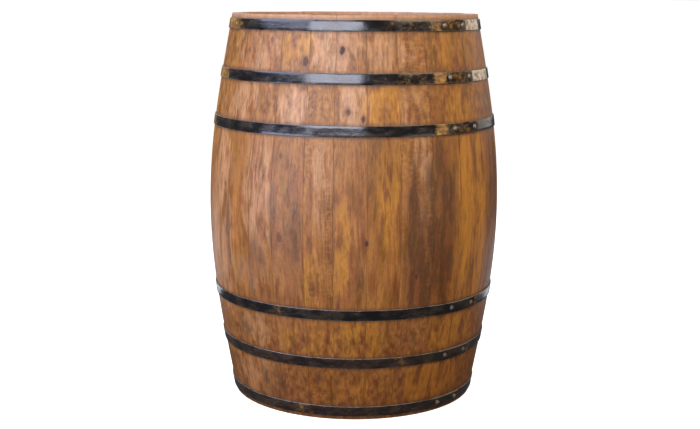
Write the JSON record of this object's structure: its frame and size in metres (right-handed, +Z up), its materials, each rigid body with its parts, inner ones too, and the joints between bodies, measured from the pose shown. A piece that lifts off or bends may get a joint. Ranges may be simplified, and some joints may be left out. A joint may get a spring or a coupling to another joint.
{
  "type": "oak wine barrel",
  "caption": "Bulging oak stave barrel standing on end, with pegged flat heads set in grooves, lapped and riveted black steel hoops, and a tapered wooden bung in its side.",
  "frame": {"origin": "on the floor, on the barrel's axis, in the plane of the lower stave ends", "axes": "+Z up along the barrel's axis, -Y the front, +Y the way that the bung faces"},
  "size_m": [0.6899, 0.6959, 0.9],
  "materials": {
    "stave_oak": "stained, weathered oak with grain up the stave, uneven golden brown to dark brown, satin to matt",
    "head_oak": "planed oak boards, matt, with grain along the boards",
    "hoop_steel": "thin black coating on strip steel, semi-gloss, with scuffs and brown rust at the laps",
    "rivet_steel": "black coated steel, semi-gloss, worn on the domes",
    "bung_wood": "pale turned hardwood, matt, end grain at both ends"
  },
  "bodies": {
    "cask": {"bottom_bilge_hoop": "hoop_steel", "bottom_bilge_hoop_rivet_1": "rivet_steel", "bottom_bilge_hoop_rivet_2": "rivet_steel", "bottom_chime_hoop": "hoop_steel", "bottom_chime_hoop_rivet_1": "rivet_steel", "bottom_chime_hoop_rivet_2": "rivet_steel", "bottom_head_board_1": "head_oak", "bottom_head_board_2": "head_oak", "bottom_head_board_3": "head_oak", "bottom_head_board_4": "head_oak", "bottom_head_board_5": "head_oak", "bottom_quarter_hoop": "hoop_steel", "bottom_quarter_hoop_rivet_1": "rivet_steel", "bottom_quarter_hoop_rivet_2": "rivet_steel", "bung_stave": "stave_oak", "stave_01": "stave_oak", "stave_02": "stave_oak", "stave_03": "stave_oak", "stave_04": "stave_oak", "stave_05": "stave_oak", "stave_06": "stave_oak", "stave_07": "stave_oak", "stave_08": "stave_oak", "stave_09": "stave_oak", "stave_10": "stave_oak", "stave_11": "stave_oak", "stave_12": "stave_oak", "stave_13": "stave_oak", "stave_14": "stave_oak", "stave_15": "stave_oak", "stave_16": "stave_oak", "stave_17": "stave_oak", "stave_18": "stave_oak", "stave_19": "stave_oak", "stave_20": "stave_oak", "stave_21": "stave_oak", "stave_22": "stave_oak", "stave_23": "stave_oak", "stave_24": "stave_oak", "stave_25": "stave_oak", "stave_26": "stave_oak", "stave_27": "stave_oak", "stave_28": "stave_oak", "stave_29": "stave_oak", "top_bilge_hoop": "hoop_steel", "top_bilge_hoop_rivet_1": "rivet_steel", "top_bilge_hoop_rivet_2": "rivet_steel", "top_chime_hoop": "hoop_steel", "top_chime_hoop_rivet_1": "rivet_steel", "top_chime_hoop_rivet_2": "rivet_steel", "top_head_board_1": "head_oak", "top_head_board_2": "head_oak", "top_head_board_3": "head_oak", "top_head_board_4": "head_oak", "top_head_board_5": "head_oak", "top_quarter_hoop": "hoop_steel", "top_quarter_hoop_rivet_1": "rivet_steel", "top_quarter_hoop_rivet_2": "rivet_steel"},
    "bung": {"bung": "bung_wood"}
  },
  "joints": [
    {"name": "bung_pull", "type": "slide", "parent": "cask", "child": "bung", "axis": [0, 1, 0], "range_m": [0, 0.08]}
  ]
}
